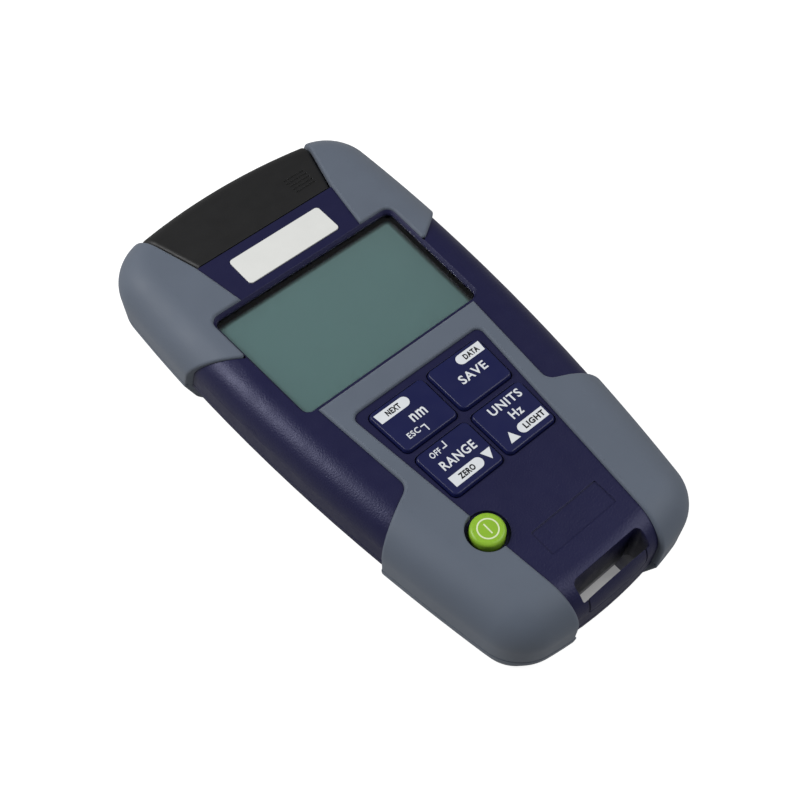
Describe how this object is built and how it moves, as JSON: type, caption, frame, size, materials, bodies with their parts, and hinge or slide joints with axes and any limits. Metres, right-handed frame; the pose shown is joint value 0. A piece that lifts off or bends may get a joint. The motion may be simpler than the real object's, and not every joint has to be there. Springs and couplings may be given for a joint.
{
  "type": "optical power meter",
  "caption": "Handheld optical power meter with rubber corners, a display, push keys, a hinged connector cover, a cell door and a lanyard slot.",
  "frame": {"origin": "centre of the bounding box in plan, in the plane that the rear rubber stands on", "axes": "+X to the right seen on the face, +Y towards the connector end, +Z out of the face"},
  "size_m": [0.08, 0.1497, 0.03],
  "materials": {
    "shell": "fine moulded texture, satin",
    "soft": "matt soft-touch",
    "cover": "fine moulded texture, satin",
    "key": "satin with printed legends",
    "power": "satin silicone with printed symbol",
    "window": "clear, polished",
    "display": "reflective liquid crystal, unlit",
    "label": "smooth satin plate, bare",
    "inner": "plain",
    "mat": "plain silicone",
    "board": "solder resist",
    "steel": "plain",
    "brass": "nickel-plated on its barrel",
    "cell": "plain sleeve with a steel end"
  },
  "bodies": {
    "housing": {"front_shell": "shell", "rear_shell": "shell", "upper_left_bumper": "soft", "upper_right_bumper": "soft", "lower_grip": "soft", "rear_upper_left_bumper": "soft", "rear_upper_right_bumper": "soft", "rear_lower_left_grip": "soft", "rear_lower_right_grip": "soft", "screen_window": "window", "lcd_panel": "display", "lcd_frame": "inner", "label_plate": "label", "keypad_mat": "mat", "dome_switches": "steel", "circuit_board": "board", "end_plate": "inner", "optical_adapter": "brass", "photodiode": "brass", "usb_socket": "steel", "battery_cells": "cell", "battery_contacts": "steel", "case_screws": "steel"},
    "cover": {"connector_cover": "cover", "cover_hinge_pins": "steel"},
    "wavelength_key_body": {"wavelength_key": "key"},
    "store_key_body": {"store_key": "key"},
    "auto_key_body": {"auto_key": "key"},
    "unit_key_body": {"unit_key": "key"},
    "power_button_body": {"power_button": "power"},
    "door": {"battery_door": "shell"}
  },
  "joints": [
    {"name": "cover_hinge", "type": "hinge", "parent": "housing", "child": "cover", "pos_m": [0, 0.068, 0.0054], "axis": [-1, 0, 0], "range_deg": [0, 120]},
    {"name": "door_hinge", "type": "hinge", "parent": "housing", "child": "door", "pos_m": [0, -0.0063, 0.0018], "axis": [1, 0, 0], "range_deg": [0, 80]},
    {"name": "wavelength_press", "type": "slide", "parent": "housing", "child": "wavelength_key_body", "axis": [0, 0, -1], "range_m": [0, 0.0008], "stiffness_N_per_m": 1500},
    {"name": "store_press", "type": "slide", "parent": "housing", "child": "store_key_body", "axis": [0, 0, -1], "range_m": [0, 0.0008], "stiffness_N_per_m": 1500},
    {"name": "auto_press", "type": "slide", "parent": "housing", "child": "auto_key_body", "axis": [0, 0, -1], "range_m": [0, 0.0008], "stiffness_N_per_m": 1500},
    {"name": "unit_press", "type": "slide", "parent": "housing", "child": "unit_key_body", "axis": [0, 0, -1], "range_m": [0, 0.0008], "stiffness_N_per_m": 1500},
    {"name": "power_press", "type": "slide", "parent": "housing", "child": "power_button_body", "axis": [0, 0, -1], "range_m": [0, 0.0008], "stiffness_N_per_m": 1500}
  ]
}
